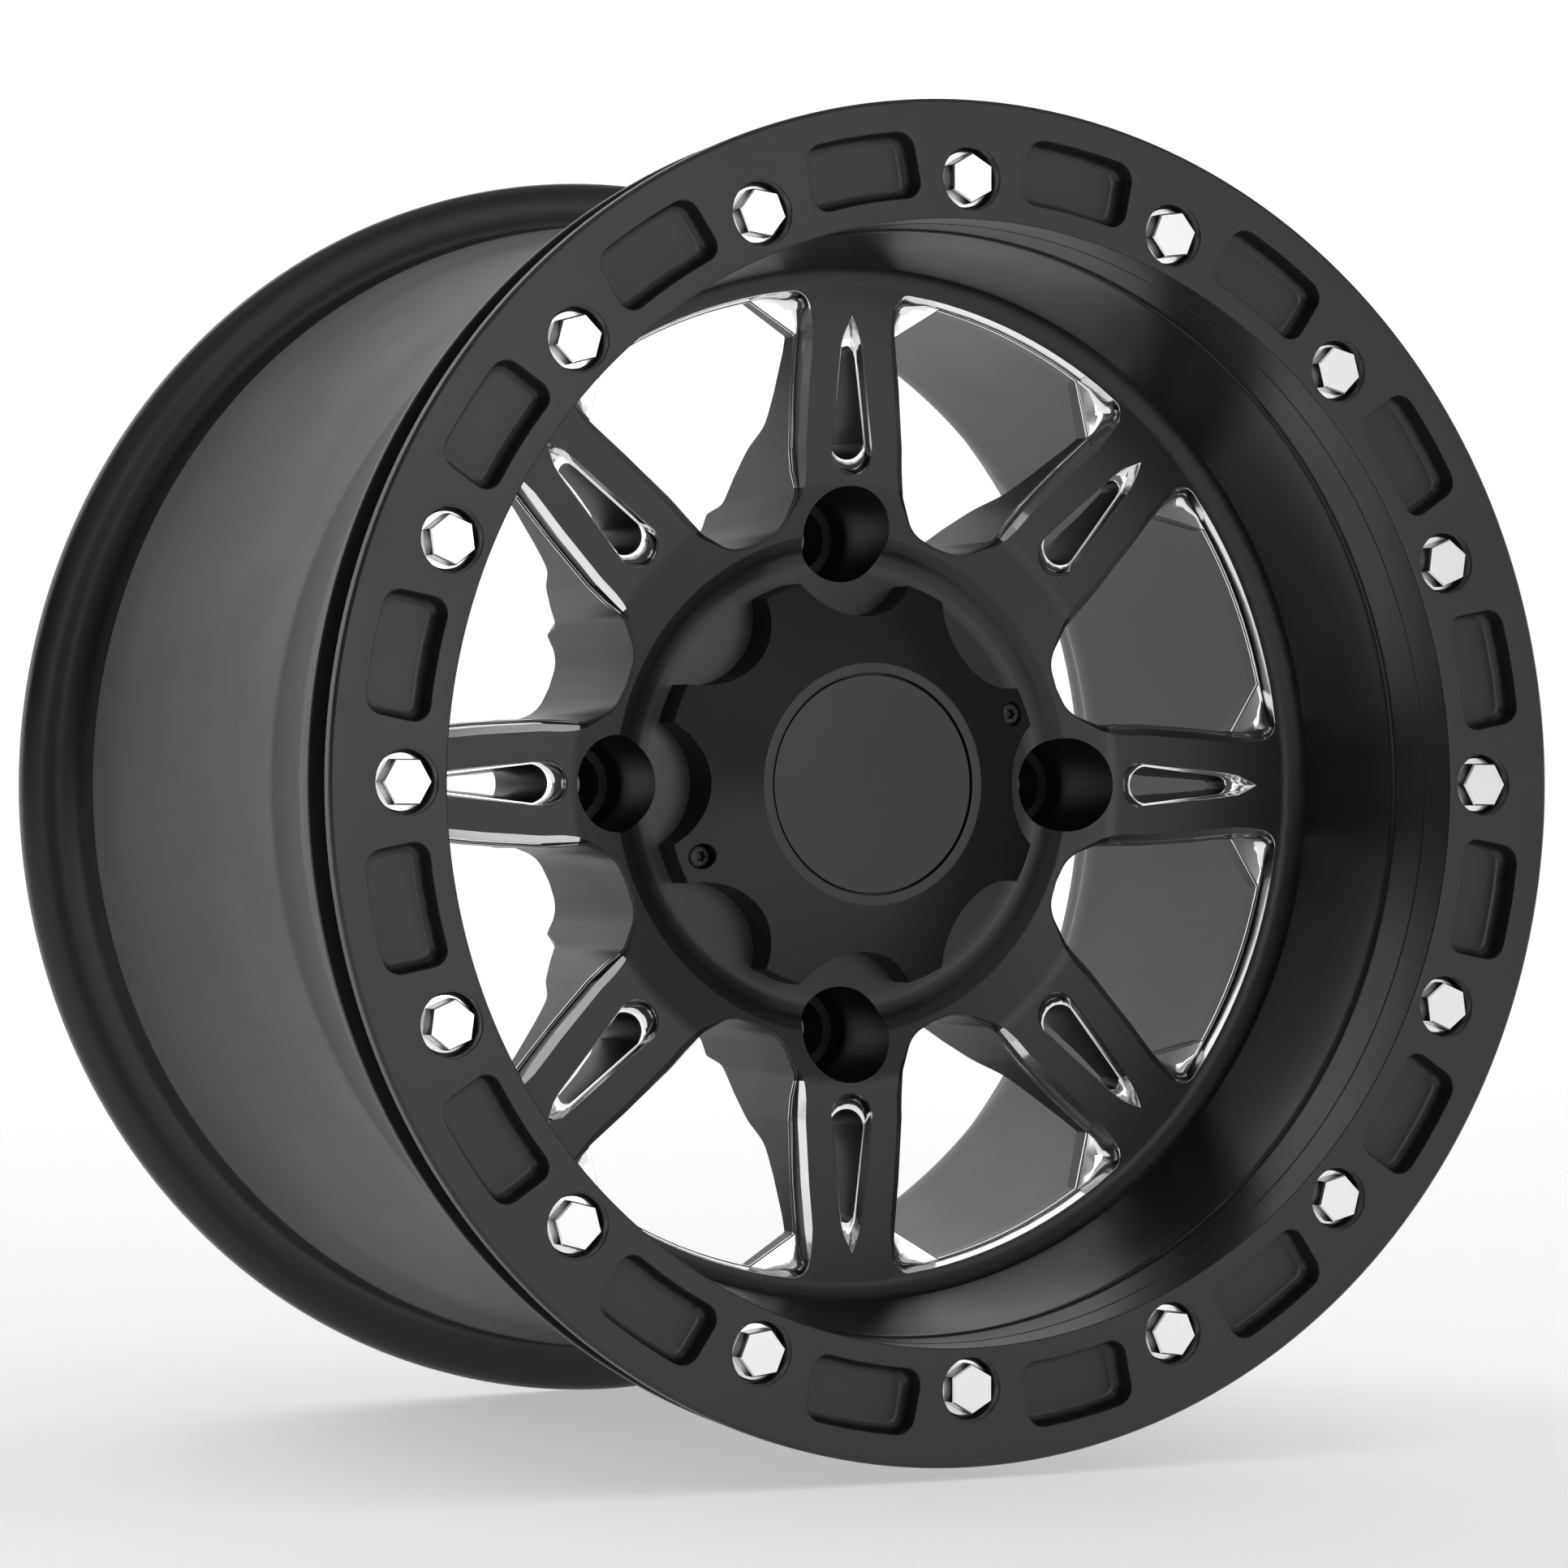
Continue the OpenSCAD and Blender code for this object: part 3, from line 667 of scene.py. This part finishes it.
g = Geo()
g.revolve(rounded([(0, 65.6, 0, 1), (33.8, 65.6, 0.35, 4), (33.8, 67.3, 0.1, 1), (0, 67.3, 0, 1)]), 160)
disc = finish(g.obj("cap_disc", [m_disc]), 28)
place(disc, "cap_medallion")

# Cap screws: low heads with a six-lobed socket
def lobe_r(a):
    return 1.52 + 0.26 * math.cos(6 * a)


g = Geo()
NS = 72
for k in range(2):
    a0 = R(22.5 + 180 * k)
    cx, cz = 58 * math.cos(a0), 58 * math.sin(a0)
    rings = []
    for fn, d in ((lambda a: 1.2, 98.0), (lambda a: 2.0, 97.2), (lambda a: 2.0, 80.0), (lambda a: 3.5, 80.0), (lambda a: 3.5, 77.3), (lambda a: 3.38, 76.95),
                  (lambda a: 3.1, 76.75), (lambda a: 2.6, 76.6), (lambda a: lobe_r(a) + 0.12, 76.55), (lobe_r, 76.7), (lambda a: lobe_r(a) * 0.97, 78.6)):
        rings.append([(cx + fn(2 * math.pi * i / NS) * math.cos(2 * math.pi * i / NS), d,
                       cz + fn(2 * math.pi * i / NS) * math.sin(2 * math.pi * i / NS)) for i in range(NS)])
    g.loft(rings, [0] * (len(rings) - 1), (0, 0))
screws = finish(g.obj("socket_screws", [m_screw]), 28)
place(screws, "cap_screws")

# ------------------------------------------------------------------ CAD pieces that stay

for name, mat in {"thread_inserts": m_steel, "medallion_seal": m_foam, "cap_o_ring": m_rubber, "valve_stem": m_valve, "valve_grommet": m_rubber,
                  "valve_washer": m_valve, "valve_nut": m_valve, "valve_core": m_brass, "valve_cap": m_plastic}.items():
    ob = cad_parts[name]
    if ob.material_slots:
        for s in ob.material_slots:
            s.material = mat
    else:
        ob.data.materials.append(mat)

# ------------------------------------------------------------------ stage

def sweep():
    """Pale floor that curves up far behind the wheel."""
    me = bpy.data.meshes.new("floor")
    z0, y0, rad = -0.2071, 3.2, 1.5
    prof = [(-6.0, z0), (-2.0, z0), (0.0, z0), (1.5, z0)] + [(y0 + rad * math.sin(R(6 * k)), z0 + rad - rad * math.cos(R(6 * k))) for k in range(16)] + [(y0 + rad, 7.0)]
    v, f = [], []
    for x in (-8.0, 8.0):
        v += [(x, y, z) for y, z in prof]
    n = len(prof)
    for i in range(n - 1):
        f.append((i, n + i, n + i + 1, i + 1))
    me.from_pydata(v, [], f)
    me.shade_smooth()
    ob = bpy.data.objects.new("floor", me)
    bpy.context.scene.collection.objects.link(ob)
    mat, nt, b = principled("floor_white", (0.93, 0.93, 0.93), 0.9, spec=0.2)
    b.inputs["Emission Color"].default_value = (1, 1, 1, 1)
    b.inputs["Emission Strength"].default_value = 0.42
    me.materials.append(mat)
    return ob


sweep()


def studio(lights):
    """Soft boxes all round as one smooth world: (azimuth from the front towards +X, elevation, sharpness, strength)."""
    world = bpy.data.worlds.new("studio")
    world.use_nodes = True
    nt = world.node_tree
    bg = nt.nodes["Background"]
    tc = nt.nodes.new("ShaderNodeTexCoord")
    total = None
    for az, el, sharp, strength in lights:
        d = nt.nodes.new("ShaderNodeVectorMath")
        d.operation = "DOT_PRODUCT"
        d.inputs[1].default_value = (math.sin(R(az)) * math.cos(R(el)), -math.cos(R(az)) * math.cos(R(el)), math.sin(R(el)))
        nt.links.new(tc.outputs["Generated"], d.inputs[0])
        m = nt.nodes.new("ShaderNodeMath")
        m.operation = "MULTIPLY_ADD"
        m.inputs[1].default_value = sharp
        m.inputs[2].default_value = math.log(strength) - sharp
        nt.links.new(d.outputs["Value"], m.inputs[0])
        e = nt.nodes.new("ShaderNodeMath")
        e.operation = "EXPONENT"
        nt.links.new(m.outputs["Value"], e.inputs[0])
        if total is None:
            total = e.outputs["Value"]
        else:
            a = nt.nodes.new("ShaderNodeMath")
            a.operation = "ADD"
            nt.links.new(total, a.inputs[0])
            nt.links.new(e.outputs["Value"], a.inputs[1])
            total = a.outputs["Value"]
    nt.links.new(total, bg.inputs["Color"])
    bpy.context.scene.world = world


studio([(8, 0, 30, 3.86), (22, 0, 30, 0.68), (52, 0, 30, 0.08), (75, 0, 30, 1.89), (100, 0, 30, 2.38), (-26, 32, 14, 0.3), (8, 32, 14, 0.16),
        (36, 32, 14, 0.3), (70, 32, 14, 0.24), (-60, 62, 10, 0.45), (80, 62, 10, 0.24), (0, 90, 10, 0.45), (180, 0, 10, 0.68), (120, 40, 8, 0.13)])

cam_data = bpy.data.cameras.new("camera")
cam = bpy.data.objects.new("camera", cam_data)
bpy.context.scene.collection.objects.link(cam)
cam_data.sensor_fit = "HORIZONTAL"
cam_data.sensor_width = 36.0
cam_data.lens = 122.59
cam_data.clip_start = 0.05
cam_data.clip_end = 60.0
right, up, fwd = Vector((0.90169, -0.43238, 0.000421)), Vector((-0.00233, -0.00389, 0.99999)), Vector((0.43237, 0.90168, 0.004517))
rot = Matrix((right, up, -fwd)).transposed()
cam.matrix_world = Matrix.Translation(Vector((-0.73685, -1.55252, -0.00743))) @ rot.to_4x4()
bpy.context.scene.camera = cam

bpy.context.scene.view_settings.view_transform = "Standard"
bpy.context.scene.view_settings.look = "None"
